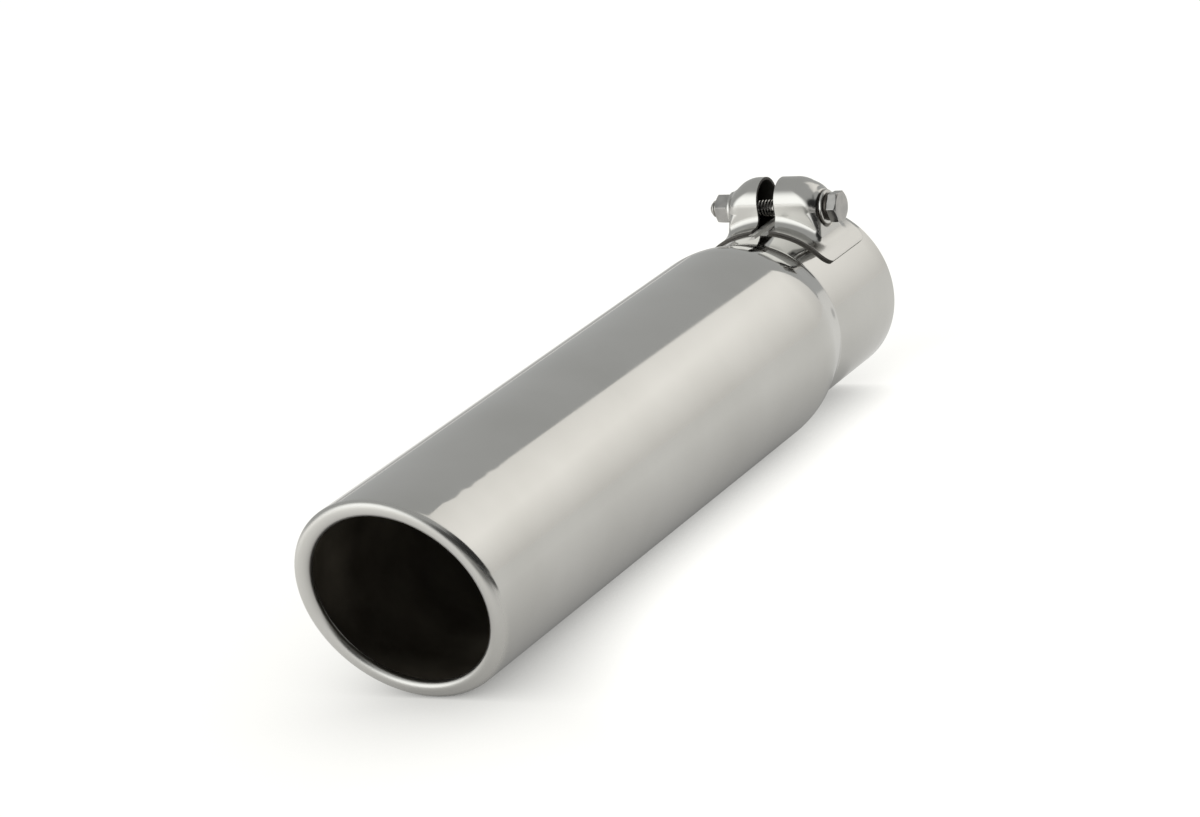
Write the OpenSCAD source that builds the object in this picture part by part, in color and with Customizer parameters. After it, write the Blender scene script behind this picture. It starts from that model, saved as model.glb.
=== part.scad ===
// Clamp-on tail pipe tip: one polished tube with a slanted, rolled-in mouth, a swaged
// shoulder and a slotted collar, closed on the pipe by a bolt through two pressed ears.
// The tube's axis is Y. The collar's rear edge is at y = 0, its mouth looks along -Y,
// and the clamp is on top, towards +Z.

/* [Tube] */
// How far the body stands out past the collar, on the radius
body_step = 4.6; // [2:0.1:10]
// Length from the collar's rear edge to the middle of the mouth
tip_len = 315; // [200:1:420]
// Thickness of the tube's wall
wall = 1.5; // [1:0.1:2]
// Slant of the mouth, with its upper edge further out
mouth_slant = 14.4; // [5:0.1:25]

/* [Rolled lip] */
// Width of the lip across the wall, from its outside to its inside
lip_w = 6.2; // [4.5:0.1:8]
// How far the lip bulges in front of the body's cut end
lip_bulge = 2.6; // [2:0.1:4]
// How far round the lip's edge is rolled
lip_roll = 225; // [190:5:240]

/* [Collar] */
// Outer diameter of the pipe that goes into the collar
pipe_d = 63.5; // [60:0.1:64]
// Gap round the pipe before the clamp is tightened
pipe_clear = 0.25; // [0.1:0.05:0.5]
// Length of the collar's straight part
collar_len = 48.8; // [42:0.1:60]
// Radius of the shoulder's rounded outside
shoulder_r = 52; // [30:1:70]
// Radius of the small hollow where the shoulder meets the collar
neck_r = 3; // [2:0.1:5]
// Width of the slot along the collar's top
slot_w = 2.4; // [1.5:0.1:4]
// Length of the slot from the collar's rear edge
slot_len = 44; // [38:0.5:46]

/* [Clamp ears] */
// Thickness of the ears' sheet
sheet = 1.5; // [1:0.1:2]
// Length of the ears' flanges along the tube
saddle_len = 32.2; // [28:0.1:36]
// Distance from the collar's rear edge to the ears
saddle_back = 3.2; // [1:0.1:8]
// Width of both pressed ears over their side walls
ears_w = 38.4; // [34:0.1:44]
// How far the ears sit to the right of the slot
ears_shift = 1.8; // [0:0.1:3]
// Width of the gap between the ears
ear_gap = 7.2; // [5:0.1:10]
// Width of the pressed ears along the tube
dome_w = 18; // [16:0.1:22]
// Height of the ears' top above the collar
dome_h = 16.6; // [15:0.1:20]
// Radius of the ears' round shoulders over the bolt
dome_shoulder_r = 10; // [5:0.1:11]
// Radius of the ears' upright corners
dome_corner_r = 4; // [1:0.1:5]
// How far round the collar each flange reaches from the top
flange_angle = 50.5; // [45:0.5:58]
// Radius of the flanges' outer corners
flange_corner_r = 3.5; // [1:0.1:5]
// Depth of the pressed seats under the washers
seat_depth = 0.7; // [0.4:0.1:1.2]

/* [Fasteners] */
// Outer diameter of the bolt's thread
bolt_d = 6.35; // [5:0.05:7]
// How far the bolt's end stands out past the nut
bolt_past = 3.3; // [1:0.1:6]
// Height of the bolt's middle above the collar
bolt_h = 4.9; // [4.2:0.1:6]
// Width of the bolt's head and nut across their flats
hex_af = 11.1; // [9:0.1:11.1]
// Thickness of the bolt's head
head_t = 4; // [3:0.1:5]
// Thickness of the nut
nut_t = 5.6; // [4:0.1:6]
// Outer diameter of the flat washers
washer_d = 12.7; // [12:0.1:13]
// Thickness of the flat washers
washer_t = 1.3; // [0.8:0.1:1.6]
// Outer diameter of the spring washer
spring_d = 10.4; // [9:0.1:11]
// Thickness of the spring washer
spring_t = 1.5; // [1:0.1:2]

/* [Hidden] */

round_fn = 96;
fine_fn = 48;
// Running clearance of the bolt in its holes, on the radius
hole_clear = 0.35;
// Clearance between the bolt's and the nut's threads, on the radius
thread_clear = 0.05;
// Clearance of the ears on the collar
seat_clear = 0.05;
// Clearance between the washers and the rim of their seat
seat_rim = 1.4;
// Turn of the hexagons away from a corner that points forward
head_turn = 5;
// Depth of the chamfer on the hexagons' corners
hex_chamfer = 0.9;
// Depth of the chamfer on the bolt's end
point_chamfer = 0.8;
// Cut of the spring washer
spring_cut = 1.2;
// Length of the cutters past what they cut
over = 1;

bore_r = pipe_d / 2 + pipe_clear;
collar_r = bore_r + wall;
body_r = collar_r + body_step;

// The shoulder turns in by the angle at which its two arcs meet
shoulder_turn = acos(1 - (body_r - collar_r) / (shoulder_r + neck_r));
shoulder_len = (shoulder_r + neck_r) * sin(shoulder_turn);
shoulder_y = collar_len + shoulder_len;

saddle_mid = saddle_back + saddle_len / 2;
flange_r = collar_r + seat_clear + sheet;
flange_reach = flange_r * sin(flange_angle);
bolt_z = collar_r + bolt_h;
dome_top = collar_r + dome_h;
wall_right = ears_shift + ears_w / 2;
wall_left = ears_w / 2 - ears_shift;
seat_right = wall_right - seat_depth;
seat_left = wall_left - seat_depth;
seat_r = washer_d / 2 + seat_rim;
head_x = seat_right + washer_t + spring_t;
nut_x = -seat_left - washer_t;
bolt_end = nut_x - nut_t - bolt_past;

// Points on the shoulder, offset inwards by the wall, as radius and distance from the rear
arc_steps = 12;
function shoulder_pts(inset) = concat(
    [for (i = [0 : arc_steps])
        let (a = shoulder_turn * i / arc_steps, r = neck_r + inset)
        [collar_r - inset + r * (1 - cos(a)), collar_len + r * sin(a)]],
    [for (i = [arc_steps : -1 : 0])
        let (a = shoulder_turn * i / arc_steps, r = shoulder_r - inset)
        [body_r - inset - r * (1 - cos(a)), shoulder_y - r * sin(a)]]);

// The lip's section: a strip of sheet that leaves the body's wall and rolls inwards
lip_tail = 2;
lip_steps = 18;
lip_stations = 96;
lip_inset = 0.03;
lip_half = lip_w / 2 - lip_inset;
function lip_curve(depth) = [for (i = [0 : lip_steps])
    let (a = lip_roll * i / lip_steps)
    [body_r - lip_inset - lip_half + (lip_half - depth) * cos(a),
        -(lip_bulge - depth) * sin(a)]];
lip_outer = lip_curve(0);
lip_inner = lip_curve(wall - 2 * lip_inset);
lip_section = concat(
    [[lip_outer[0][0], lip_tail]], lip_outer,
    [for (i = [lip_steps : -1 : 0]) lip_inner[i]], [[lip_inner[0][0], lip_tail]]);
lip_n = len(lip_section);

function mouth_y(r, a) = -tip_len - tan(mouth_slant) * r * sin(a);

module along_y() {
    rotate([90, 0, 0]) children();
}

module along_x() {
    rotate([0, 90, 0]) children();
}

module lip() {
    lip_pts = [for (s = [0 : lip_stations - 1], p = lip_section)
        let (a = 360 * s / lip_stations)
        [p[0] * cos(a), mouth_y(p[0], a) + p[1], p[0] * sin(a)]];
    lip_faces = [for (s = [0 : lip_stations - 1], i = [0 : lip_n - 1])
        let (t = (s + 1) % lip_stations, j = (i + 1) % lip_n)
        [s * lip_n + i, s * lip_n + j, t * lip_n + j, t * lip_n + i]];
    polyhedron(points = lip_pts, faces = lip_faces, convexity = 6);
}

module tube() {
    reach = tip_len + body_r;
    profile = concat([[collar_r, 0]], shoulder_pts(0), [[body_r, reach]],
        [[body_r - wall, reach]],
        [for (i = [2 * arc_steps + 1 : -1 : 0]) shoulder_pts(wall)[i]], [[bore_r, 0]]);
    along_y() rotate_extrude($fn = round_fn) polygon(profile);
}

module mouth_cut() {
    translate([0, -tip_len, 0])
        rotate([mouth_slant, 0, 0])
            translate([-2 * body_r, -4 * body_r, -2 * body_r])
                cube(4 * body_r);
}

module slot() {
    translate([-slot_w / 2, -slot_len + slot_w / 2, 0])
        cube([slot_w, slot_len + over, body_r]);
    translate([0, -slot_len + slot_w / 2, 0])
        cylinder(d = slot_w, h = body_r, $fn = fine_fn);
}

module tip_shell() {
    color("silver") {
        difference() {
            tube();
            mouth_cut();
            slot();
        }
        lip();
    }
}

// The pressed ears' arch, seen along the bolt, inset by the sheet for the hollow
module arch(inset) {
    r = dome_w / 2 - inset;
    translate([-saddle_mid, dome_top - dome_w / 2]) circle(r, $fn = fine_fn);
    translate([-saddle_mid - r, 0]) square([2 * r, dome_top - dome_w / 2]);
}

// The ears' front outline, with a round shoulder over each side wall
module front_outline(inset) {
    half = ears_w / 2 - inset;
    r = dome_shoulder_r - inset;
    top = dome_top - inset;
    translate([ears_shift, 0]) {
        for (side = [-1, 1])
            translate([side * (half - r), top - r]) circle(r, $fn = fine_fn);
        translate([-half, 0]) square([2 * half, top - r]);
        translate([r - half, 0]) square([2 * (half - r), top]);
    }
}

// The ears' outline from above, with small upright corners
module plan_outline(inset) {
    half = ears_w / 2 - inset;
    depth = dome_w / 2 - inset;
    r = max(dome_corner_r - inset, 0.4);
    translate([ears_shift, -saddle_mid]) {
        for (x = [-1, 1], y = [-1, 1])
            translate([x * (half - r), y * (depth - r)]) circle(r, $fn = fine_fn);
        translate([-half, r - depth]) square([2 * half, 2 * (depth - r)]);
        translate([r - half, -depth]) square([2 * (half - r), 2 * depth]);
    }
}

module dome(inset) {
    intersection() {
        translate([-ears_w, 0, 0])
            rotate([90, 0, 90]) linear_extrude(2 * ears_w) arch(inset);
        along_y() linear_extrude(saddle_mid + dome_w) front_outline(inset);
        linear_extrude(dome_top + over) plan_outline(inset);
    }
}

// The flange that follows the collar, with round corners at its outer end
module flange() {
    y0 = -saddle_back - saddle_len;
    r = flange_corner_r;
    intersection() {
        along_y() translate([0, 0, saddle_back])
            cylinder(r = flange_r, h = saddle_len, $fn = round_fn);
        linear_extrude(flange_r + over) {
            translate([0, y0]) square([flange_reach - r, saddle_len]);
            translate([0, y0 + r]) square([flange_reach, saddle_len - 2 * r]);
            for (y = [y0 + r, -saddle_back - r])
                translate([flange_reach - r, y]) circle(r, $fn = fine_fn);
        }
    }
}

module bolt_line(r, x0, x1, fn = fine_fn) {
    translate([x0, -saddle_mid, bolt_z]) along_x() cylinder(r = r, h = x1 - x0, $fn = fn);
}

module washer_ring(x0, d, t) {
    difference() {
        bolt_line(d / 2, x0, x0 + t);
        bolt_line(bolt_d / 2 + hole_clear, x0 - over, x0 + t + over);
    }
}

// One ear: side is 1 on the right, where the bolt's head is, and -1 on the left
module ear(side) {
    wall_x = side > 0 ? wall_right : wall_left;
    seat_x = wall_x - seat_depth;
    far = 2 * ears_w;
    difference() {
        union() {
            dome(0);
            mirror([side > 0 ? 0 : 1, 0, 0]) {
                flange();
                bolt_line(washer_d / 2, seat_x - sheet, seat_x);
            }
        }
        difference() {
            dome(sheet);
            mirror([side > 0 ? 0 : 1, 0, 0]) bolt_line(seat_r + sheet, seat_x - sheet, far);
        }
        along_y() translate([0, 0, -over])
            cylinder(r = collar_r + seat_clear, h = saddle_mid + dome_w + over, $fn = round_fn);
        mirror([side > 0 ? 0 : 1, 0, 0]) {
            bolt_line(seat_r, seat_x, far);
            bolt_line(bolt_d / 2 + hole_clear, 0, far);
        }
        translate([side > 0 ? -far + ear_gap / 2 : -ear_gap / 2, -far, -over])
            cube([far, 2 * far, far]);
    }
}

module clamp_ear_left() {
    color("silver") ear(-1);
}

module clamp_ear_right() {
    color("silver") ear(1);
}

// A hexagon with its outer corners chamfered, from x0 towards the given side
module hex_block(x0, t, side) {
    corner_r = hex_af / sqrt(3);
    translate([x0, -saddle_mid, bolt_z])
        rotate([head_turn, 0, 0]) rotate([0, side * 90, 0]) intersection() {
            cylinder(r = corner_r, h = t, $fn = 6);
            union() {
                cylinder(r = corner_r + over, h = t - hex_chamfer / 2, $fn = fine_fn);
                translate([0, 0, t - hex_chamfer / 2])
                    cylinder(r1 = corner_r, r2 = corner_r - hex_chamfer, h = hex_chamfer / 2,
                        $fn = fine_fn);
            }
        }
}

module clamp_bolt() {
    color("lightgray") {
        hex_block(head_x, head_t, 1);
        bolt_line(bolt_d / 2, bolt_end + point_chamfer, head_x + over);
        translate([bolt_end, -saddle_mid, bolt_z]) along_x()
            cylinder(r1 = bolt_d / 2 - point_chamfer, r2 = bolt_d / 2, h = point_chamfer,
                $fn = fine_fn);
    }
}

module clamp_nut() {
    color("lightgray") difference() {
        hex_block(nut_x, nut_t, -1);
        bolt_line(bolt_d / 2 + thread_clear, nut_x - nut_t - over, nut_x + over);
    }
}

module head_washer() {
    color("gainsboro") washer_ring(seat_right, washer_d, washer_t);
}

module spring_washer() {
    color("gray") difference() {
        washer_ring(seat_right + washer_t, spring_d, spring_t);
        translate([head_x, -saddle_mid, bolt_z]) rotate([0, 0, 20])
            translate([-spring_d, -spring_cut / 2, -spring_d])
                cube([2 * spring_d, spring_cut, spring_d]);
    }
}

module nut_washer() {
    color("gainsboro") washer_ring(nut_x, washer_d, washer_t);
}

tip_shell();
clamp_ear_left();
clamp_ear_right();
clamp_bolt();
head_washer();
spring_washer();
nut_washer();
clamp_nut();
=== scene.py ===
import math

import bmesh
import bpy
from mathutils import Matrix, Vector


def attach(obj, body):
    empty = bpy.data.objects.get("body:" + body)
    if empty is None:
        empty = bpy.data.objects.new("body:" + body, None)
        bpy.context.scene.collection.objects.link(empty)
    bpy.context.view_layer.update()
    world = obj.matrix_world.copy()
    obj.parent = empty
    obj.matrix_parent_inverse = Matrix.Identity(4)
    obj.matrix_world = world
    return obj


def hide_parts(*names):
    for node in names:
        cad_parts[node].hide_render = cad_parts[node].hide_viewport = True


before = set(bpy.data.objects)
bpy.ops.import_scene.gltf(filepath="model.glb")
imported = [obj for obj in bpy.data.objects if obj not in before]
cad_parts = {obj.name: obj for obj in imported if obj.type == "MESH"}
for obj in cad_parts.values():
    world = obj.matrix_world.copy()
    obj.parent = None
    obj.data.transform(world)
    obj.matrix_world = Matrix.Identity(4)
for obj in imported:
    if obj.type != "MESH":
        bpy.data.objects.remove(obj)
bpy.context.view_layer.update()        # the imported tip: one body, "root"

mm = 0.001
scene = bpy.context.scene


# The photograph's view: a long lens from the front right, a little above the tip
shot = {
    "place": (0.76234, -1.44688, 0.47573),
    "turn": (72.475, 9.421, 27.902),   # degrees about X, Y and Z
    "lens": 134.41,
    "sensor": 36.0,
}


def addCamera(values):
    data = bpy.data.cameras.new("camera")
    data.lens = values["lens"]
    data.sensor_width = values["sensor"]
    data.sensor_fit = "HORIZONTAL"
    data.clip_start = 0.05
    data.clip_end = 50
    camera = bpy.data.objects.new("camera", data)
    camera.location = values["place"]
    camera.rotation_euler = [math.radians(a) for a in values["turn"]]
    scene.collection.objects.link(camera)
    scene.camera = camera


addCamera(shot)
print("camera placed")


# Node helpers

def newNode(tree, kind, inputs=None, **settings):
    node = tree.nodes.new(kind)
    for name, value in settings.items():
        setattr(node, name, value)
    for name, value in (inputs or {}).items():
        node.inputs[name].default_value = value
    return node


def newMaterial(name):
    material = bpy.data.materials.new(name)
    material.use_nodes = True
    tree = material.node_tree
    tree.nodes.clear()
    shader = newNode(tree, "ShaderNodeBsdfPrincipled")
    output = newNode(tree, "ShaderNodeOutputMaterial")
    tree.links.new(shader.outputs["BSDF"], output.inputs["Surface"])
    return material, tree, shader


def objectNoise(tree, scale, detail, stretch=(1, 1, 1)):
    coords = newNode(tree, "ShaderNodeTexCoord")
    mapping = newNode(tree, "ShaderNodeMapping", {"Scale": stretch})
    noise = newNode(tree, "ShaderNodeTexNoise", {"Scale": scale, "Detail": detail})
    tree.links.new(coords.outputs["Object"], mapping.inputs["Vector"])
    tree.links.new(mapping.outputs["Vector"], noise.inputs["Vector"])
    return noise.outputs["Fac"]


def remap(tree, source, low, high, fromLow=0.35, fromHigh=0.65):
    ramp = newNode(tree, "ShaderNodeMapRange",
                   {"From Min": fromLow, "From Max": fromHigh, "To Min": low, "To Max": high})
    tree.links.new(source, ramp.inputs["Value"])
    return ramp.outputs["Result"]


def tintBetween(tree, source, dark, light):
    mix = newNode(tree, "ShaderNodeMix", data_type="RGBA")
    mix.inputs["A"].default_value = (*dark, 1)
    mix.inputs["B"].default_value = (*light, 1)
    tree.links.new(source, mix.inputs["Factor"])
    return mix.outputs["Result"]


def addBump(tree, shader, source, distance, normal=None):
    bump = newNode(tree, "ShaderNodeBump", {"Distance": distance, "Strength": 1.0})
    tree.links.new(source, bump.inputs["Height"])
    if normal:
        tree.links.new(normal, bump.inputs["Normal"])
    tree.links.new(bump.outputs["Normal"], shader.inputs["Normal"])
    return bump.outputs["Normal"]


# Fades from one value to another by how far a place is from a patch's middle
def patched(tree, base, near, inner, outer, value):
    mask = newNode(tree, "ShaderNodeMapRange", {"From Min": outer, "From Max": inner},
                   interpolation_type="SMOOTHSTEP")
    tree.links.new(near, mask.inputs["Value"])
    mix = newNode(tree, "ShaderNodeMix", data_type="FLOAT")
    tree.links.new(mask.outputs["Result"], mix.inputs["Factor"])
    if isinstance(base, float):
        mix.inputs["A"].default_value = base
    else:
        tree.links.new(base, mix.inputs["A"])
    mix.inputs["B"].default_value = value
    return mix.outputs["Result"]


# Full inside a spot on the piece, fading to nothing at its outer reach
def spotMask(tree, middle, inner, outer):
    coords = newNode(tree, "ShaderNodeTexCoord")
    away = newNode(tree, "ShaderNodeVectorMath", operation="DISTANCE")
    tree.links.new(coords.outputs["Object"], away.inputs[0])
    away.inputs[1].default_value = [c * mm for c in middle]
    mask = newNode(tree, "ShaderNodeMapRange", {"From Min": outer * mm, "From Max": inner * mm},
                   interpolation_type="SMOOTHSTEP")
    tree.links.new(away.outputs["Value"], mask.inputs["Value"])
    return mask.outputs["Result"]


def product(tree, first, second):
    node = newNode(tree, "ShaderNodeMath", operation="MULTIPLY")
    for socket, value in zip(node.inputs, (first, second)):
        if isinstance(value, float):
            socket.default_value = value
        else:
            tree.links.new(value, socket)
    return node.outputs["Value"]


# Polished steel: near-mirror, with faint cloudy polish marks and fine lines left by the wheel
def polishedSteel(name, values):
    material, tree, shader = newMaterial(name)
    shader.inputs["Metallic"].default_value = 1.0
    clouds = objectNoise(tree, values["cloudScale"], 4)
    lines = objectNoise(tree, values["lineScale"], 3, values["lineStretch"])
    colour = tintBetween(tree, remap(tree, clouds, 0, 1), values["dark"], values["light"])
    rough = newNode(tree, "ShaderNodeMath", operation="ADD")
    tree.links.new(remap(tree, clouds, values["roughLow"], values["roughHigh"]), rough.inputs[0])
    tree.links.new(remap(tree, lines, 0, values["lineRough"]), rough.inputs[1])
    rough = rough.outputs["Value"]
    ripple = addBump(tree, shader, objectNoise(tree, values["rippleScale"], 2), values["ripple"])
    if "satinRough" in values:      # the rolled edge is left satin
        satin = newNode(tree, "ShaderNodeAttribute", attribute_name="satin")
        rough = patched(tree, rough, satin.outputs["Fac"], 1.0, 0.0, values["satinRough"])
    for middle, inner, outer, depth, scale in values.get("dents", ()):
        dented = product(tree, spotMask(tree, middle, inner, outer), objectNoise(tree, scale, 1))
        ripple = addBump(tree, shader, dented, depth, ripple)
    # dark spots: on the tube a wear mark, on the ears painted shade round the washer seats
    for middle, inner, outer, tint in values.get("marksAndShade", ()):
        wornAndShaded = newNode(tree, "ShaderNodeMix", data_type="RGBA")
        wornAndShaded.inputs["B"].default_value = (*tint, 1)
        tree.links.new(spotMask(tree, middle, inner, outer), wornAndShaded.inputs["Factor"])
        tree.links.new(colour, wornAndShaded.inputs["A"])
        colour = wornAndShaded.outputs["Result"]
    tree.links.new(colour, shader.inputs["Base Color"])
    tree.links.new(rough, shader.inputs["Roughness"])
    addBump(tree, shader, lines, values["lineDepth"], ripple)
    return material


steel = {
    "dark": (0.560, 0.552, 0.530), "light": (0.600, 0.592, 0.572),
    "cloudScale": 22.0, "roughLow": 0.035, "roughHigh": 0.075,
    "lineScale": 40.0, "lineStretch": (1, 30, 1), "lineRough": 0.03, "lineDepth": 0.0000015,
    "rippleScale": 9.0, "ripple": 0.00004,
}
tubeSteel = dict(
    steel, satinRough=0.32,
    # middle, inner and outer reach in mm, then depth in m and scale, or colour
    dents=(((17, -299, 34), 8, 24, 0.00016, 70.0), ((19, -286, 33), 5, 16, 0.00010, 120.0)),
    marksAndShade=(((33.6, -51.9, 7.6), 0.8, 3.0, (0.33, 0.325, 0.315)),),
)
earSteel = dict(
    steel, roughLow=0.15, roughHigh=0.21, rippleScale=60.0, ripple=0.00002,
    lineStretch=(1, 1, 12), lineScale=160.0,
    # painted shade in the seats round the washers: dark rings where the seats' rims shade the
    # side walls
    marksAndShade=(((21.0, -19.9, 38.0), 6.7, 7.3, (0.10, 0.095, 0.085)),
           ((-17.4, -19.5, 38.2), 6.6, 7.2, (0.05, 0.045, 0.04))),
)


# The tube's inside: unpolished steel, made dark as painted shade; the ears' undersides and cut
# edges use it too
def shadeDarkSteel(name, values):
    material, tree, shader = newMaterial(name)
    shader.inputs["Metallic"].default_value = values["metallic"]
    patches = objectNoise(tree, values["scale"], 5)
    colour = tintBetween(tree, remap(tree, patches, 0, 1), values["dark"], values["light"])
    tree.links.new(colour, shader.inputs["Base Color"])
    tree.links.new(remap(tree, patches, values["roughLow"], values["roughHigh"]),
                   shader.inputs["Roughness"])
    addBump(tree, shader, objectNoise(tree, values["grain"], 3), values["depth"])
    return material


# Zinc plate: satin grey, a little mottled
def zincPlate(name, values):
    material, tree, shader = newMaterial(name)
    shader.inputs["Metallic"].default_value = 1.0
    mottle = objectNoise(tree, values["scale"], 4)
    colour = tintBetween(tree, remap(tree, mottle, 0, 1), values["dark"], values["light"])
    tree.links.new(colour, shader.inputs["Base Color"])
    tree.links.new(remap(tree, mottle, values["roughLow"], values["roughHigh"]),
                   shader.inputs["Roughness"])
    addBump(tree, shader, objectNoise(tree, values["scale"] * 4, 3), values["depth"])
    return material


zinc = {"dark": (0.38, 0.375, 0.365), "light": (0.50, 0.49, 0.475), "scale": 260.0,
        "roughLow": 0.28, "roughHigh": 0.40, "depth": 0.00001}
brightZinc = dict(zinc, dark=(0.55, 0.54, 0.52), light=(0.66, 0.65, 0.63), roughLow=0.15,
                  roughHigh=0.26)
threadZinc = dict(zinc, dark=(0.34, 0.33, 0.31), light=(0.46, 0.45, 0.43), roughLow=0.10,
                  roughHigh=0.15)
# the spring washer is made near-black: painted shade in the gap between the bolt head and the
# flat washer
springShade = dict(zinc, dark=(0.06, 0.055, 0.05), light=(0.12, 0.11, 0.10))
dullStrip = dict(zinc, dark=(0.62, 0.61, 0.58), light=(0.80, 0.79, 0.76), roughLow=0.55,
                 roughHigh=0.70)
# painted shade: the tube's inside is made near-black to stand for the unlit hollow
insideShade = {"dark": (0.085, 0.073, 0.056), "light": (0.170, 0.150, 0.120), "scale": 40.0,
        "metallic": 0.6, "roughLow": 0.5, "roughHigh": 0.75, "grain": 900.0, "depth": 0.00002}
# painted shade: the ears' undersides and cut sheet edges are made dark
earShade = dict(insideShade, dark=(0.10, 0.095, 0.085), light=(0.16, 0.15, 0.14), scale=90.0)

stripFinish = zincPlate("dullStrip", dullStrip)
tubeFinish = polishedSteel("tubeSteel", tubeSteel)
earFinish = polishedSteel("earSteel", earSteel)
earUnderShade = shadeDarkSteel("earUnderShade", earShade)
insideShadeFinish = shadeDarkSteel("shadeDarkSteel", insideShade)
boltFinish = zincPlate("boltZinc", zinc)
threadFinish = zincPlate("threadZinc", threadZinc)
washerFinish = zincPlate("washerZinc", brightZinc)
springFinish = zincPlate("springSteel", springShade)
print("finishes made")


# Mesh helpers

def newPiece(name, vertices, faces, finishes, sharpAngle):
    mesh = bpy.data.meshes.new(name)
    mesh.from_pydata(vertices, [], faces)
    build = bmesh.new()
    build.from_mesh(mesh)
    bmesh.ops.remove_doubles(build, verts=build.verts, dist=1e-7)
    bmesh.ops.recalc_face_normals(build, faces=build.faces)
    build.to_mesh(mesh)
    build.free()
    for finish in finishes:
        mesh.materials.append(finish)
    piece = bpy.data.objects.new(name, mesh)
    scene.collection.objects.link(piece)
    smoothPiece(piece, sharpAngle)
    return piece


def smoothPiece(piece, sharpAngle):
    mesh = piece.data
    mesh.shade_smooth()
    build = bmesh.new()
    build.from_mesh(mesh)
    limit = math.radians(sharpAngle)
    for edge in build.edges:
        edge.smooth = len(edge.link_faces) != 2 or edge.calc_face_angle(0) < limit
    build.to_mesh(mesh)
    build.free()


# Bakes the piece's modifiers into a plain mesh
def settle(piece):
    bpy.context.view_layer.update()
    shaped = piece.evaluated_get(bpy.context.evaluated_depsgraph_get())
    mesh = bpy.data.meshes.new_from_object(shaped)
    piece.modifiers.clear()
    piece.data = mesh
    return piece


def fit(piece, node):
    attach(piece, "root")
    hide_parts(node)


# The tube: one profile carried round the axis, with the mouth's rows sheared to its slant
tube = {
    "bodyR": 38.1, "wall": 1.5, "length": 315.0, "slant": 14.4,
    "collarR": 33.5, "collarLen": 47.4, "shoulderR": 52.0, "neckR": 6.0, "neckSlope": 15.0,
    "lipWide": 6.2, "lipBulge": 2.6, "lipBack": 1.1, "lipBackTop": 0.0, "lipRoll": 225,
    "slotWide": 2.4, "slotLen": 44.0,
    "rimR": 0.25, "around": 320, "satinFrom": 3.0, "satinTo": -2.5, "topFade": 5,
    "stripHalf": 3.55, "stripFront": -35.4, "stripRear": -1.0,     # dull between the ears
    "lipInside": 1.2, "lipBehind": 3.0, "insideShadeMargin": 0.5,     # where the painted inside shade stops
    "neckRows": 10, "bendRows": 29, "lipRows": 40, "lipInsideRows": 24, "cornerRows": 4,
    "bodyRows": (-120, -170, -220, -270), "mouthRows": (12.0, 5.0, 3.0, 2.0),
    "insideRows": (-200, -120), "collarRows": (-8.0, -20.0, -32.0, -38.0), "slotFront": -46.0,
}


def mouthY(values, r, angle):
    return -values["length"] - math.tan(math.radians(values["slant"])) * r * math.sin(angle)


# From the collar over a small hollow neck, up a short cone and over the round shoulder
def shoulderRows(values, inset):
    turn = math.radians(values["neckSlope"])
    neck, big = values["neckR"] + inset, values["shoulderR"] - inset
    both = values["neckR"] + values["shoulderR"]
    drop = values["bodyR"] - values["collarR"]
    cone = (drop - both * (1 - math.cos(turn))) / math.sin(turn)
    reach = both * math.sin(turn) + cone * math.cos(turn)
    rows = []
    for i in range(values["neckRows"] + 1):
        a = turn * i / values["neckRows"]
        rows.append((values["collarR"] - inset + neck * (1 - math.cos(a)),
                     -values["collarLen"] - neck * math.sin(a)))
    for i in range(values["bendRows"], -1, -1):
        a = turn * i / values["bendRows"]
        rows.append((values["bodyR"] - inset - big * (1 - math.cos(a)),
                     -values["collarLen"] - reach + big * math.sin(a)))
    return rows


# A point on the mouth's rolled edge, and its shift at the top, where the roll is tighter
def rollPoint(values, a, inset):
    half, bulge = values["lipWide"] / 2, values["lipBulge"]
    first = a < math.pi / 2
    back = values["lipBack"] if first else 0
    atTop = (values["lipBackTop"] - back) * (1 - math.sin(a)) if first else 0
    return (values["bodyR"] - half + (half - inset) * math.cos(a),
            back - (bulge + back - inset) * math.sin(a), 1, atTop)


# Rows as (radius, y, rides with the mouth, shift at the top), outside and then inside
def tubeRows(values):
    rim, outer, body, wall = (values[key] for key in ("rimR", "collarR", "bodyR", "wall"))
    roll = math.radians(values["lipRoll"])
    corner = [math.pi / 2 * i / values["cornerRows"] for i in range(values["cornerRows"] + 1)]
    atTop = values["lipBackTop"] - values["lipBack"]
    slotted = slottedRows(values)
    rows = [(outer - rim + rim * math.sin(a), -rim + rim * math.cos(a), 0, 0) for a in corner]
    rows += [(outer, y, 0, 0) for y in slotted]
    rows += [(r, y, 0, 0) for r, y in shoulderRows(values, 0)]
    rows += [(body, y, 0, 0) for y in values["bodyRows"]]
    rows += [(body, y, 1, atTop) for y in values["mouthRows"]]
    for i in range(values["lipRows"] + 1):
        rows.append(rollPoint(values, roll * i / values["lipRows"], 0))
    for i in range(values["lipInsideRows"] + 1):
        rows.append(rollPoint(values, roll * (1 - i / values["lipInsideRows"]), wall))
    rows.append((body - wall, 4.0, 1, atTop))
    rows += [(body - wall, y, 0, 0) for y in values["insideRows"]]
    rows += [(r, y, 0, 0) for r, y in reversed(shoulderRows(values, wall))]
    rows += [(outer - wall, y, 0, 0) for y in reversed(slotted)]
    rows += [(outer - wall + rim - rim * math.cos(a), -rim + rim * math.sin(a), 0, 0)
             for a in corner]
    return rows


# The collar's rows, closer along the slot's round end
def slottedRows(values):
    half = values["slotWide"] / 2
    middle = -values["slotLen"] + half
    corner = values["cornerRows"]
    end = [middle - half * math.sin(math.pi / 2 * i / corner) for i in range(corner + 1)]
    return [*values["collarRows"], *end, values["slotFront"]]


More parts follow.
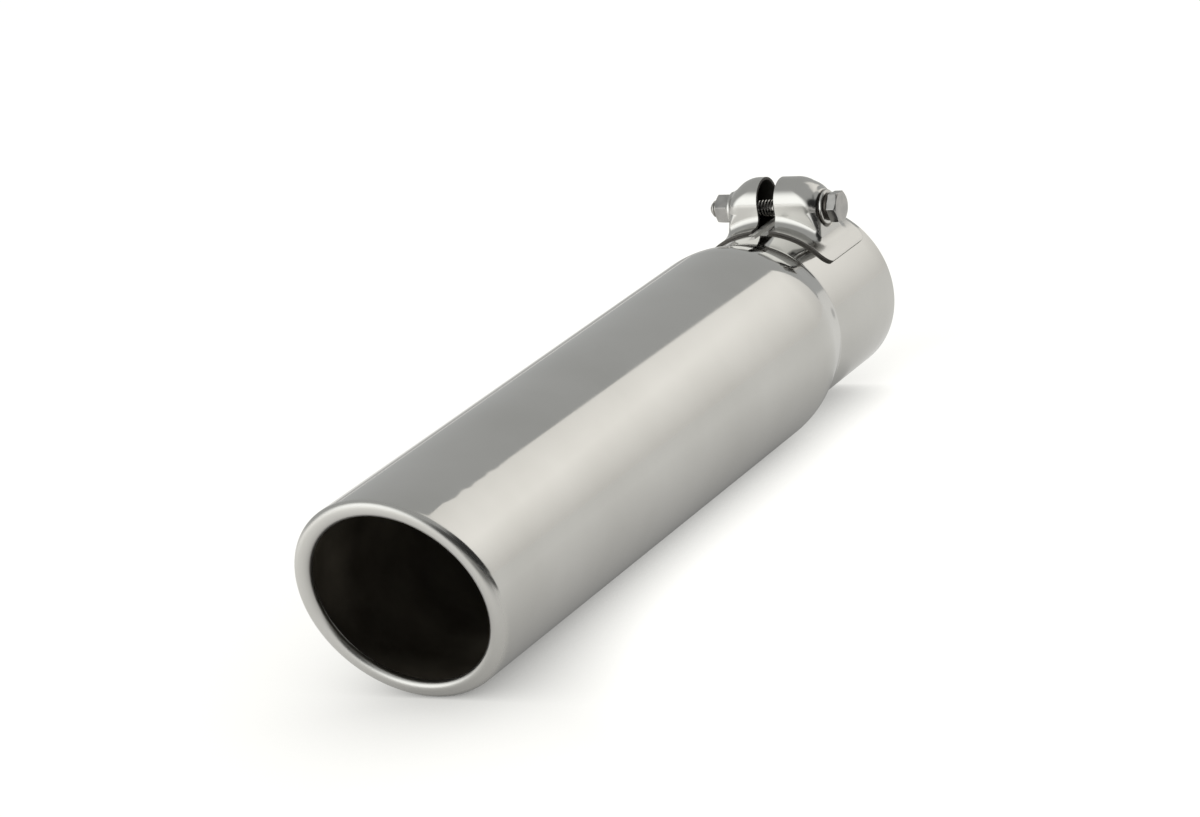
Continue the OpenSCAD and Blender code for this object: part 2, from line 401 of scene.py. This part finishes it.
# Angles round the axis, with columns on the slot's sides and along its round end
def tubeAngles(values):
    half, corner = values["slotWide"] / 2, values["cornerRows"]
    offsets = [-half * math.cos(math.pi / 2 * i / corner) for i in range(corner + 1)]
    offsets += [-x for x in reversed(offsets[:-1])]
    near = [math.pi / 2 - math.asin(x / values["collarR"]) for x in offsets]
    near.sort()
    step = 2 * math.pi / values["around"]
    first, last = near[-1], near[0] + 2 * math.pi
    count = int((last - first) / step)
    return near[:-1] + [first + (last - first) * i / count for i in range(count)]


def makeTube(values):
    rows = tubeRows(values)
    angles = tubeAngles(values)
    vertices = []
    for angle in angles:
        top = max(math.sin(angle), 0) ** values["topFade"]
        for r, y, atMouth, atTop in rows:
            along = y + atTop * top + (mouthY(values, r, angle) if atMouth else 0)
            vertices.append((r * math.cos(angle) * mm, along * mm, r * math.sin(angle) * mm))
    half = values["slotWide"] / 2
    middle = -values["slotLen"] + half
    many = len(rows)
    faces = []

    def cutAway(corner):
        angle, (_, y, atMouth, _) = angles[corner[0]], rows[corner[1]]
        x = values["collarR"] * math.cos(angle)
        if atMouth or y < -values["slotLen"] - 1e-6 or math.sin(angle) <= 0:
            return False
        if abs(x) > half + 1e-6:
            return False
        return y >= middle - 1e-6 or x * x + (y - middle) ** 2 <= half * half + 1e-5

    for i in range(len(angles)):
        k = (i + 1) % len(angles)
        for j in range(many):
            m = (j + 1) % many
            corners = [(i, j), (k, j), (k, m), (i, m)]
            hits = [c for c in corners if cutAway(c)]
            if len(hits) == 4:
                continue
            face = [c[0] * many + c[1] for c in corners]
            if len(hits) == 3:
                hole = next(c for c in corners if c not in hits)
                at = corners.index(hole)
                face = [face[(at - 1) % 4], face[at], face[(at + 1) % 4]]
            faces.append(face)
    return vertices, faces


# Joins the slot's outer and inner outline with its cut walls, then fills their rear ends
def closeSlot(piece, values):
    build = bmesh.new()
    build.from_mesh(piece.data)
    rim = [e for e in build.edges if e.is_boundary]
    inner = {}

    def place(v):
        return round(math.atan2(v.co.z, v.co.x), 4), round(v.co.y / mm, 3)

    def depth(v):
        return values["collarR"] - math.hypot(v.co.x, v.co.z) / mm

    for v in {v for e in rim for v in e.verts}:
        if depth(v) > values["wall"] - 0.01:
            inner[place(v)] = v
    for e in rim:
        a, b = e.verts
        if max(depth(a), depth(b)) < 0.01:
            build.faces.new([a, b, inner[place(b)], inner[place(a)]])
    bmesh.ops.holes_fill(build, edges=[e for e in build.edges if e.is_boundary], sides=0)
    bmesh.ops.recalc_face_normals(build, faces=build.faces)
    build.to_mesh(piece.data)
    build.free()


def alongRoll(values, place):
    r = math.hypot(place.x, place.z) / mm
    fromMouth = place.y / mm - mouthY(values, r, math.atan2(place.z, place.x))
    return r, fromMouth


# Polished outside and over the roll, dark inside as painted shade, dull between the ears
def finishOf(values, face):
    r, fromMouth = alongRoll(values, face.center)
    inward = face.normal.x * face.center.x + face.normal.z * face.center.z < -1e-4
    if abs(face.center.x) / mm < values["stripHalf"] and face.center.z > 0 and not inward:
        if values["stripFront"] < face.center.y / mm < values["stripRear"]:
            return 2
    lipEnd = values["bodyR"] - values["lipWide"] + values["lipInside"]
    if r < lipEnd and fromMouth < values["lipBehind"]:
        return 0
    margin = values["insideShadeMargin"]
    if fromMouth > -margin and inward and -face.center.y / mm > values["rimR"] + margin:
        return 1
    return 0


# How satin the steel is at a place: the polish fades out just before the roll
def satinAt(values, place):
    r, fromMouth = alongRoll(values, place)
    t = (values["satinFrom"] - fromMouth) / (values["satinFrom"] - values["satinTo"])
    if t > 0 and r < values["bodyR"] - values["lipWide"] / 2:
        return 1.0
    return min(max(t, 0.0), 1.0)


vertices, faces = makeTube(tube)
shell = newPiece("tipShell", vertices, faces, [tubeFinish, insideShadeFinish, stripFinish], 40)
closeSlot(shell, tube)
for face in shell.data.polygons:
    face.material_index = finishOf(tube, face)
satin = shell.data.attributes.new("satin", "FLOAT", "POINT")
satin.data.foreach_set("value", [satinAt(tube, v.co) for v in shell.data.vertices])
smoothPiece(shell, 40)
fit(shell, "tip_shell")
print("tube made", len(shell.data.polygons), "faces")


# The pressed ears: loops from the flange's edge, over a small hollow foot, up the walls and
# over the round shoulder to the ridge
ears = {
    "collarR": 33.55, "sheet": 1.0, "middle": -19.3, "flangeHalf": 16.1, "flangeReach": 27.05,
    "flangeCorner": 3.5, "domeHalf": 9.0, "top": 50.1, "shoulder": 11.5,
    "cornerLow": 1.8, "cornerHigh": 5.2, "wallRight": 21.0, "wallLeft": 17.4,
    "footFront": 3.8, "footSide": 1.8,
    "gap": 3.6, "boltZ": 38.4, "seatR": 6.5, "seatRim": 7.75, "seatDepth": 0.7, "holeR": 3.525,
    "flangeLoops": 10, "footLoops": 8, "wallLoops": 30, "shoulderLoops": 36,
    "alongFront": 26, "alongCorner": 18, "alongSide": 44, "edgeSoft": 0.12,
    "seatReach": 4.0, "holeReach": 3.0, "holeSnap": 1.2,     # how far in from the side wall
}


# Points (x, y) from the gap's front edge round the side to its rear edge
def uPath(values, half, reach, corner):
    start = values["gap"]
    corner = max(0.0, min(corner, half, reach - start))
    many, turns, side = values["alongFront"], values["alongCorner"], values["alongSide"]
    points = [(start + (reach - corner - start) * i / many, -half) for i in range(many)]
    for i in range(turns):
        a = math.pi / 2 * i / turns
        points.append((reach - corner + corner * math.sin(a),
                       -half + corner - corner * math.cos(a)))
    for i in range(side + 1):
        points.append((reach, (corner - half) * (1 - 2 * i / side)))
    return points + [(x, -y) for x, y in reversed(points[:many + turns])]


def earLoops(values, wallX):
    flangeR = values["collarR"] + values["sheet"]
    half = values["domeHalf"]
    bend = values["top"] - values["shoulder"]
    loops = []

    def onCollar(x):
        return math.sqrt(flangeR ** 2 - x * x)

    wall = uPath(values, half, wallX, values["cornerLow"])
    outward = [(b[0] - a[0], b[1] - a[1]) for a, b in
               zip(wall, uPath(values, half + 1, wallX + 1, values["cornerLow"] + 1))]
    front, side = values["footFront"], values["footSide"]
    foot = [side + (front - side) * abs(out[1]) ** 2 for out in outward]

    def footPath(a):
        return [(p[0] + out[0] * f * (1 - math.sin(a)), p[1] + out[1] * f * (1 - math.sin(a)))
                for p, out, f in zip(wall, outward, foot)]

    rim = uPath(values, values["flangeHalf"], values["flangeReach"], values["flangeCorner"])
    for k in range(values["flangeLoops"]):
        t = k / values["flangeLoops"]
        flat = [(a[0] + (b[0] - a[0]) * t, a[1] + (b[1] - a[1]) * t)
                for a, b in zip(rim, footPath(0))]
        loops.append([(x, y, onCollar(x)) for x, y in flat])
    for k in range(values["footLoops"] + 1):
        a = math.pi / 2 * k / values["footLoops"]
        loops.append([(x, y, onCollar(x) + f * (1 - math.cos(a)))
                      for (x, y), f in zip(footPath(a), foot)])
    for k in range(1, values["wallLoops"]):
        t = k / values["wallLoops"]
        corner = values["cornerLow"] + (values["cornerHigh"] - values["cornerLow"]) * t
        loops.append([(x, y, (onCollar(x) + f) * (1 - t) + bend * t)
                      for (x, y), f in zip(uPath(values, half, wallX, corner), foot)])
    for k in range(values["shoulderLoops"] + 1):
        a = math.pi / 2 * k / values["shoulderLoops"]
        z = bend + values["shoulder"] * math.sin(a)
        above = max(z - (values["top"] - half), 0)
        width = math.sqrt(max(half ** 2 - above ** 2, 0))
        inset = values["shoulder"] * (1 - math.cos(a))
        corner = values["cornerHigh"] + (half - values["cornerHigh"]) * (1 - math.cos(a))
        loops.append([(x, y, z) for x, y in uPath(values, width, wallX - inset, corner)])
    return loops


# Presses a flat round seat for the washer into the side wall and the shoulder over it
def pressSeat(values, point, wallX):
    x, y, z = point
    away = math.hypot(y, z - values["boltZ"])
    if x < wallX - values["seatReach"] or away > values["seatRim"]:
        return point
    t = min(max((away - values["seatR"]) / (values["seatRim"] - values["seatR"]), 0), 1)
    t = t * t * (3 - 2 * t)
    seat = wallX - values["seatDepth"]
    return (seat + (x - seat) * t, y, z)


def makeEar(values, side, name, node):
    wallX = values["wallRight"] if side > 0 else values["wallLeft"]
    loops = [[pressSeat(values, p, wallX) for p in loop] for loop in earLoops(values, wallX)]
    many = len(loops[0])
    vertices = [(side * x * mm, (y + values["middle"]) * mm, z * mm)
                for loop in loops for x, y, z in loop]
    hole, pierced = values["holeR"], wallX - values["holeReach"]

    def fromBolt(y, z):
        return math.hypot(y / mm - values["middle"], z / mm - values["boltZ"])

    faces = []
    for k in range(len(loops) - 1):
        for i in range(many - 1):
            quad = [k * many + i, k * many + i + 1, (k + 1) * many + i + 1, (k + 1) * many + i]
            x, y, z = (sum(vertices[v][c] for v in quad) / 4 for c in range(3))
            if abs(x) / mm < pierced or fromBolt(y, z) > hole:
                faces.append(quad)
    ear = newPiece(name, vertices, faces, [earFinish, earUnderShade], 180)
    build = bmesh.new()
    build.from_mesh(ear.data)
    for v in build.verts:
        away = fromBolt(v.co.y, v.co.z)
        if v.is_boundary and abs(v.co.x) / mm > pierced and away < hole + values["holeSnap"]:
            v.co.y = (values["middle"] + (v.co.y / mm - values["middle"]) * hole / away) * mm
            v.co.z = (values["boltZ"] + (v.co.z / mm - values["boltZ"]) * hole / away) * mm
    top = max(build.faces, key=lambda f: f.calc_center_median().z)
    if top.normal.z < 0:
        bmesh.ops.reverse_faces(build, faces=build.faces)
    build.to_mesh(ear.data)
    build.free()
    thick = ear.modifiers.new("sheet", "SOLIDIFY")
    thick.thickness = values["sheet"] * mm
    thick.offset = -1
    thick.use_even_offset = True
    # the underside and the cut edges take the dark finish: painted shade, and painted contact
    # shadow along the edges
    thick.material_offset = 1
    thick.material_offset_rim = 1
    soften = ear.modifiers.new("edge", "BEVEL")
    soften.width = values["edgeSoft"] * mm
    soften.segments = 2
    soften.limit_method = "ANGLE"
    soften.angle_limit = math.radians(55)
    settle(ear)
    smoothPiece(ear, 50)
    fit(ear, node)


makeEar(ears, 1, "earRight", "clamp_ear_right")
makeEar(ears, -1, "earLeft", "clamp_ear_left")
print("ears pressed")


# The bolt, its nut and their washers, all on one line along X
fastener = {
    "middle": -19.3, "height": 38.4, "threadR": 3.17, "rootR": 2.62, "pitch": 1.27,
    "length": 50.0, "point": 1.2, "threadAround": 48, "threadAlong": 640,
    "headAcross": 10.7, "nutAcross": 10.3, "headT": 4.0, "nutT": 5.6, "turn": 5.0,
    "nutTurn": 20.0, "chamfer": 30, "flatShare": 0.96, "padShare": 0.94, "padT": 0.3,
    "holeSoft": 0.4, "pinch": 0.01, "around": 96, "cornerSoft": 0.15,
    "seatRight": 20.3, "seatLeft": 16.7,
    "washerR": 6.35, "washerT": 1.3, "washerHole": 3.525, "washerSoft": 0.2,
    "springR": 5.2, "springT": 1.5, "springCut": 14, "springStart": 250, "springLift": 0.25,
    "springSoft": 0.12,
}
headX = fastener["seatRight"] + fastener["washerT"] + fastener["springT"]
nutX = -fastener["seatLeft"] - fastener["washerT"]


def onBoltLine(values, x, along, up):
    return (x * mm, (values["middle"] + along) * mm, (values["height"] + up) * mm)


# Rings of a hexagon with a coned end, from its inner face at x0 to the far one: a nut has a
# hole and a cone at both ends, and a head stands on a round pad
def hexRings(values, across, x0, thick, side, holeR):
    cone = math.tan(math.radians(values["chamfer"]))
    flatR, pad, padT = (across / 2 * values["flatShare"], across / 2 * values["padShare"],
                        values["padT"])
    turn, soft, around = math.radians(values["turn"]), values["holeSoft"], values["around"]
    near = (holeR or values["pinch"]) + soft
    rings = []

    def ring(radius, height):
        points = []
        for i in range(around):
            a = 2 * math.pi * i / around + turn
            r = radius(a)
            points.append(onBoltLine(values, x0 + side * height(a), -r * math.cos(a),
                                     r * math.sin(a)))
        rings.append(points)

    def corner(a):
        return across / 2 / math.cos((a - turn) % (math.pi / 3) - math.pi / 6)

    if holeR:
        ring(lambda a: holeR, lambda a: soft)
    ring(lambda a: near, lambda a: 0)
    if holeR:
        ring(lambda a: flatR, lambda a: 0)
        ring(corner, lambda a: (corner(a) - flatR) * cone)
    else:
        ring(lambda a: pad, lambda a: 0)
        ring(lambda a: pad, lambda a: padT)
        ring(corner, lambda a: padT)
    ring(corner, lambda a: thick - (corner(a) - flatR) * cone)
    ring(lambda a: flatR, lambda a: thick)
    ring(lambda a: near, lambda a: thick)
    if holeR:
        ring(lambda a: holeR, lambda a: thick - soft)
    return rings


def ringFaces(rings, closed):
    many = len(rings[0])
    vertices = [p for ring in rings for p in ring]
    faces = []
    last = len(rings) if closed else len(rings) - 1
    for k in range(last):
        m = (k + 1) % len(rings)
        for i in range(many):
            j = (i + 1) % many
            faces.append([k * many + i, k * many + j, m * many + j, m * many + i])
    if not closed:
        faces.append(list(range(many)))
        faces.append([(len(rings) - 1) * many + i for i in reversed(range(many))])
    return vertices, faces


def softenCorners(piece, values, angle=25):
    soften = piece.modifiers.new("corner", "BEVEL")
    soften.width = values["cornerSoft"] * mm
    soften.segments = 3
    soften.limit_method = "ANGLE"
    soften.angle_limit = math.radians(angle)
    settle(piece)
    smoothPiece(piece, 40)


def makeWasher(values, name, x0, finish):
    outer, inner, thick = values["washerR"], values["washerHole"], values["washerT"]
    soft, around = values["washerSoft"], values["around"]
    profile = [(inner, 0), (outer - soft, 0), (outer, soft), (outer, thick - soft),
               (outer - soft, thick), (inner + soft, thick), (inner, thick - soft)]
    rings = [[onBoltLine(values, x0 + x, -r * math.cos(2 * math.pi * i / around),
                         r * math.sin(2 * math.pi * i / around)) for i in range(around)]
             for r, x in profile]
    vertices, faces = ringFaces(rings, True)
    return newPiece(name, vertices, faces, [finish], 60)


# A thread cut on a rod, as a node tree: a grid wrapped round the rod, its radius following
# the thread's triangle wave
def threadTree():
    tree = bpy.data.node_groups.new("threadedRod", "GeometryNodeTree")
    face = tree.interface
    face.new_socket("Geometry", in_out="OUTPUT", socket_type="NodeSocketGeometry")
    for name in ("Crest", "Root", "Pitch", "Length", "Point"):
        face.new_socket(name, in_out="INPUT", socket_type="NodeSocketFloat")
    for name in ("Around", "Along"):
        face.new_socket(name, in_out="INPUT", socket_type="NodeSocketInt")
    face.new_socket("Finish", in_out="INPUT", socket_type="NodeSocketMaterial")
    source = newNode(tree, "NodeGroupInput")
    sink = newNode(tree, "NodeGroupOutput")
    link = tree.links.new

    def calc(operation, a, b=None, c=None):
        node = newNode(tree, "ShaderNodeMath", operation=operation)
        for socket, value in zip(node.inputs, (a, b, c)):
            if value is None:
                continue
            if isinstance(value, (int, float)):
                socket.default_value = value
            else:
                link(value, socket)
        return node.outputs["Value"]

    grid = newNode(tree, "GeometryNodeMeshGrid", {"Size X": 1.0, "Size Y": 1.0})
    link(source.outputs["Along"], grid.inputs["Vertices X"])
    link(source.outputs["Around"], grid.inputs["Vertices Y"])
    place = newNode(tree, "GeometryNodeInputPosition")
    split = newNode(tree, "ShaderNodeSeparateXYZ")
    link(place.outputs["Position"], split.inputs["Vector"])
    share = calc("ADD", split.outputs["X"], 0.5)
    turn = calc("ADD", split.outputs["Y"], 0.5)
    along = calc("MULTIPLY", share, source.outputs["Length"])
    phase = calc("SUBTRACT", calc("DIVIDE", along, source.outputs["Pitch"]), turn)
    wave = calc("PINGPONG", phase, 0.5)
    height = calc("MULTIPLY", wave, 2.0)
    flat = calc("MINIMUM", calc("MAXIMUM", calc("MULTIPLY_ADD", height, 1.25, 0.5), 0.0), 1.0)
    depth = calc("SUBTRACT", source.outputs["Crest"], source.outputs["Root"])
    radius = calc("ADD", source.outputs["Root"], calc("MULTIPLY", flat, depth))
    tip = calc("SUBTRACT", source.outputs["Crest"],
               calc("MAXIMUM", calc("SUBTRACT", source.outputs["Point"], along), 0.0))
    radius = calc("MINIMUM", radius, tip)
    angle = calc("MULTIPLY", turn, 2 * math.pi)
    join = newNode(tree, "ShaderNodeCombineXYZ")
    link(along, join.inputs["X"])
    link(calc("MULTIPLY", radius, calc("COSINE", angle)), join.inputs["Y"])
    link(calc("MULTIPLY", radius, calc("SINE", angle)), join.inputs["Z"])
    wrap = newNode(tree, "GeometryNodeSetPosition")
    link(grid.outputs["Mesh"], wrap.inputs["Geometry"])
    link(join.outputs["Vector"], wrap.inputs["Position"])
    seam = newNode(tree, "GeometryNodeMergeByDistance", {"Distance": 1e-6})
    real = newNode(tree, "GeometryNodeRealizeInstances")
    paint = newNode(tree, "GeometryNodeSetMaterial")
    link(wrap.outputs["Geometry"], seam.inputs["Geometry"])
    link(seam.outputs["Geometry"], real.inputs["Geometry"])
    link(real.outputs["Geometry"], paint.inputs["Geometry"])
    link(source.outputs["Finish"], paint.inputs["Material"])
    link(paint.outputs["Geometry"], sink.inputs["Geometry"])
    return tree


def growNodes(name, tree, inputs):
    piece = bpy.data.objects.new(name, bpy.data.meshes.new(name))
    scene.collection.objects.link(piece)
    growth = piece.modifiers.new("growth", "NODES")
    growth.node_group = tree
    for item in tree.interface.items_tree:
        if item.in_out == "INPUT" and item.name in inputs:
            growth[item.identifier] = inputs[item.name]
    return settle(piece)


def makeBolt(values):
    rings = hexRings(values, values["headAcross"], headX, values["headT"], 1, 0)
    vertices, faces = ringFaces(rings, False)
    head = newPiece("boltHead", vertices, faces, [boltFinish], 25)
    softenCorners(head, values)
    rod = growNodes("boltRod", threadTree(), {
        "Crest": values["threadR"] * mm, "Root": values["rootR"] * mm,
        "Pitch": values["pitch"] * mm, "Length": values["length"] * mm,
        "Point": values["point"] * mm, "Around": values["threadAround"],
        "Along": values["threadAlong"], "Finish": threadFinish})
    shift = Matrix.Translation(onBoltLine(values, headX - values["length"] + 0.05, 0, 0))
    rod.data.transform(shift)
    rod.data.polygons.foreach_set("material_index", [1] * len(rod.data.polygons))
    head.data.materials.append(threadFinish)
    build = bmesh.new()
    build.from_mesh(head.data)
    build.from_mesh(rod.data)
    bmesh.ops.remove_doubles(build, verts=build.verts, dist=1e-7)
    bmesh.ops.holes_fill(build, edges=[e for e in build.edges if e.is_boundary], sides=200)
    bmesh.ops.recalc_face_normals(build, faces=build.faces)
    build.to_mesh(head.data)
    build.free()
    bpy.data.objects.remove(rod)
    smoothPiece(head, 40)
    head.name = "clampBolt"
    fit(head, "clamp_bolt")


def makeNut(values):
    turned = dict(values, turn=values["nutTurn"])
    rings = hexRings(turned, values["nutAcross"], nutX, values["nutT"], -1,
                     values["threadR"] + 0.05)
    vertices, faces = ringFaces(rings, True)
    nut = newPiece("clampNut", vertices, faces, [boltFinish], 25)
    softenCorners(nut, values)
    fit(nut, "clamp_nut")


# A split ring, one end sprung a little away from the other
def makeSpring(values, x0):
    around, gap = values["around"], math.radians(values["springCut"])
    start, rise = math.radians(values["springStart"]), values["springLift"]
    inner, outer, thick = values["washerHole"], values["springR"], values["springT"] - rise
    vertices, faces = [], []
    for i in range(around + 1):
        t = i / around
        a = start + gap / 2 + (2 * math.pi - gap) * t
        lift = rise * t
        for r, x in ((inner, lift), (outer, lift), (outer, lift + thick), (inner, lift + thick)):
            vertices.append(onBoltLine(values, x0 + x, -r * math.cos(a), r * math.sin(a)))
    for i in range(around):
        for k in range(4):
            m = (k + 1) % 4
            faces.append([i * 4 + k, i * 4 + m, (i + 1) * 4 + m, (i + 1) * 4 + k])
    faces.append([3, 2, 1, 0])
    faces.append([around * 4 + k for k in range(4)])
    spring = newPiece("springWasher", vertices, faces, [springFinish], 30)
    softenCorners(spring, dict(values, cornerSoft=values["springSoft"]), 40)
    fit(spring, "spring_washer")


makeBolt(fastener)
makeNut(fastener)
makeSpring(fastener, fastener["seatRight"] + fastener["washerT"])
fit(makeWasher(fastener, "headWasher", fastener["seatRight"], washerFinish),
    "head_washer")
fit(makeWasher(fastener, "nutWasher", nutX, washerFinish), "nut_washer")
print("fasteners made")


# The studio: a pale floor with painted pools of light and dark and painted shadow round the tip,
# a bright tall screen behind on the right, soft light in front on the left, and a dark side on
# the right
studio = {
    "floorZ": -38.15, "floorSize": 9.0, "floorColour": (1.0, 0.995, 0.965),
    "floorPaper": 0.12, "floorGlow": 0.86, "floorSeen": 1.08, "floorMirrored": 0.84,
    # painted shadow: the floor darkens near the tip by its ambient occlusion, raised to these
    # powers
    "nearReach": 0.12, "nearPaintedShadow": 0.62, "nearPaintedShadowSeen": 0.42,
    # painted light: a brighter pool right of the tip, seen only by the camera
    "seenPaintedPools": (((0.20, -0.12), 0.17, 0.25, 1.56),),
    "floorPaintedPools": (
        # middle (x, y), inner and outer reach, brightness of each painted pool on the floor
        ((-0.60, -0.95), 0.35, 0.95, 1.50),
        ((-0.70, 0.70), 0.45, 0.80, 0.48),
        ((1.30, -0.10), 0.70, 0.85, 0.05),
        ((0.65, -0.15), 0.28, 0.38, 0.05),
        ((0.27, -0.47), 0.13, 0.20, 0.07),
        ((0.42, -0.12), 0.12, 0.175, 0.07),
        ((0.31, -0.20), 0.10, 0.14, 0.07),
    ),
    "sky": 0.49, "skyColour": (0.985, 1.0, 0.985),
    "skyPatches": (
        # direction, inner and outer reach in degrees, brightness
        ((-0.465, -0.874, 0.139), 14, 52, 1.7),
        ((0.860, -0.491, 0.139), 31, 44, 0.03),
        ((0.940, 0.310, 0.139), 31, 44, 0.03),
    ),
    "screenY": 0.9, "screenLeft": 0.155, "screenRight": 1.05, "screenTop": 1.5,
    "screenLow": 0.84, "screenHigh": 1.25, "screenHighZ": 0.56, "screenTopDim": 0.86,
    "screenEdgeDim": 0.93, "screenEdgeWide": 0.35,
    "screenColour": (1.0, 0.985, 0.945),
    "keyPower": 7.0, "keySize": 0.9, "keyPlace": (-0.8, -0.6, 1.1),
    "topPower": 10.0, "topSize": 1.6, "topPlace": (-0.1, -0.1, 1.5),
}


def makeFloor(values):
    half = values["floorSize"] / 2
    z = values["floorZ"] * mm
    mesh = bpy.data.meshes.new("floor")
    mesh.from_pydata([(-half, -half, z), (half, -half, z), (half, half, z), (-half, half, z)],
                     [], [(0, 1, 2, 3)])
    floor = bpy.data.objects.new("floor", mesh)
    scene.collection.objects.link(floor)
    material = bpy.data.materials.new("paleFloor")
    material.use_nodes = True
    tree = material.node_tree
    tree.nodes.clear()
    coords = newNode(tree, "ShaderNodeTexCoord")

    def withPatches(level, patches):
        for middle, inner, outer, value in patches:
            away = newNode(tree, "ShaderNodeVectorMath", operation="DISTANCE")
            tree.links.new(coords.outputs["Object"], away.inputs[0])
            away.inputs[1].default_value = (*middle, z)
            level = patched(tree, level, away.outputs["Value"], inner, outer, value)
        return level

    # the camera sees one painted floor level and the tip mirrors another, both with painted pools
    path = newNode(tree, "ShaderNodeLightPath")
    seen = newNode(tree, "ShaderNodeMix", data_type="FLOAT")
    tree.links.new(path.outputs["Is Camera Ray"], seen.inputs["Factor"])
    tree.links.new(withPatches(values["floorMirrored"], values["floorPaintedPools"]), seen.inputs["A"])
    tree.links.new(withPatches(values["floorSeen"], values["seenPaintedPools"]), seen.inputs["B"])
    # painted shadow near the tip, from ambient occlusion
    shade = newNode(tree, "ShaderNodeAmbientOcclusion", {"Distance": values["nearReach"]})
    deep = newNode(tree, "ShaderNodeMath", operation="POWER")
    power = newNode(tree, "ShaderNodeMix", {"A": values["nearPaintedShadow"], "B": values["nearPaintedShadowSeen"]},
                    data_type="FLOAT")
    tree.links.new(path.outputs["Is Camera Ray"], power.inputs["Factor"])
    tree.links.new(shade.outputs["AO"], deep.inputs[0])
    tree.links.new(power.outputs["Result"], deep.inputs[1])
    bright = product(tree, seen.outputs["Result"], deep.outputs["Value"])
    level = newNode(tree, "ShaderNodeVectorMath", operation="SCALE")
    level.inputs[0].default_value = [c * values["floorPaper"] for c in values["floorColour"]]
    tree.links.new(bright, level.inputs["Scale"])
    paper = newNode(tree, "ShaderNodeBsdfDiffuse")
    glow = newNode(tree, "ShaderNodeEmission", {"Color": (*values["floorColour"], 1)})
    both = newNode(tree, "ShaderNodeAddShader")
    output = newNode(tree, "ShaderNodeOutputMaterial")
    tree.links.new(level.outputs["Vector"], paper.inputs["Color"])
    tree.links.new(product(tree, bright, values["floorGlow"]), glow.inputs["Strength"])
    tree.links.new(paper.outputs["BSDF"], both.inputs[0])
    tree.links.new(glow.outputs["Emission"], both.inputs[1])
    tree.links.new(both.outputs["Shader"], output.inputs["Surface"])
    mesh.materials.append(material)


def makeScreen(values):
    y, low = values["screenY"], values["floorZ"] * mm
    left, right, top = values["screenLeft"], values["screenRight"], values["screenTop"]
    mesh = bpy.data.meshes.new("screen")
    mesh.from_pydata([(left, y, low), (right, y, low), (right, y, top), (left, y, top)],
                     [], [(0, 1, 2, 3)])
    screen = bpy.data.objects.new("screen", mesh)
    scene.collection.objects.link(screen)
    material = bpy.data.materials.new("litScreen")
    material.use_nodes = True
    tree = material.node_tree
    tree.nodes.clear()
    coords = newNode(tree, "ShaderNodeTexCoord")
    split = newNode(tree, "ShaderNodeSeparateXYZ")
    tree.links.new(coords.outputs["Object"], split.inputs["Vector"])
    rise = newNode(tree, "ShaderNodeMapRange",
                   {"From Min": 0.0, "From Max": values["screenHighZ"],
                    "To Min": values["screenLow"], "To Max": values["screenHigh"]})
    tree.links.new(split.outputs["Z"], rise.inputs["Value"])
    fall = remap(tree, split.outputs["Z"], 1.0, values["screenTopDim"],
                 values["screenHighZ"], 2 * values["screenHighZ"])
    edge = remap(tree, split.outputs["X"], values["screenEdgeDim"], 1.0,
                 left, left + values["screenEdgeWide"])
    strength = product(tree, product(tree, rise.outputs["Result"], fall), edge)
    glow = newNode(tree, "ShaderNodeEmission", {"Color": (*values["screenColour"], 1)})
    tree.links.new(strength, glow.inputs["Strength"])
    output = newNode(tree, "ShaderNodeOutputMaterial")
    tree.links.new(glow.outputs["Emission"], output.inputs["Surface"])
    mesh.materials.append(material)
    screen.visible_camera = False
    screen.visible_shadow = False


def addSoftLight(name, place, size, power):
    data = bpy.data.lights.new(name, "AREA")
    data.shape = "SQUARE"
    data.size = size
    data.energy = power
    light = bpy.data.objects.new(name, data)
    light.location = place
    toTip = Vector((0, -0.16, 0)) - light.location
    light.rotation_euler = toTip.to_track_quat("-Z", "Y").to_euler()
    light.visible_glossy = False
    scene.collection.objects.link(light)


def makeSky(values):
    world = bpy.data.worlds.new("studio")
    world.use_nodes = True
    tree = world.node_tree
    tree.nodes.clear()
    coords = newNode(tree, "ShaderNodeTexCoord")
    strength = values["sky"]
    for direction, inner, outer, value in values["skyPatches"]:
        near = newNode(tree, "ShaderNodeVectorMath", operation="DOT_PRODUCT")
        tree.links.new(coords.outputs["Generated"], near.inputs[0])
        near.inputs[1].default_value = Vector(direction).normalized()
        strength = patched(tree, strength, near.outputs["Value"],
                           math.cos(math.radians(inner)), math.cos(math.radians(outer)), value)
    walls = newNode(tree, "ShaderNodeBackground", {"Color": (*values["skyColour"], 1)})
    tree.links.new(strength, walls.inputs["Strength"])
    seen = newNode(tree, "ShaderNodeBackground", {"Color": (1, 1, 1, 1), "Strength": 1.0})
    path = newNode(tree, "ShaderNodeLightPath")
    mix = newNode(tree, "ShaderNodeMixShader")
    output = newNode(tree, "ShaderNodeOutputWorld")
    tree.links.new(path.outputs["Is Camera Ray"], mix.inputs["Fac"])
    tree.links.new(walls.outputs["Background"], mix.inputs[1])
    tree.links.new(seen.outputs["Background"], mix.inputs[2])
    tree.links.new(mix.outputs["Shader"], output.inputs["Surface"])
    scene.world = world


makeFloor(studio)
makeScreen(studio)
addSoftLight("keyLight", studio["keyPlace"], studio["keySize"], studio["keyPower"])
addSoftLight("topLight", studio["topPlace"], studio["topSize"], studio["topPower"])
makeSky(studio)
scene.view_settings.view_transform = "Standard"
scene.view_settings.look = "None"
print("studio lit")
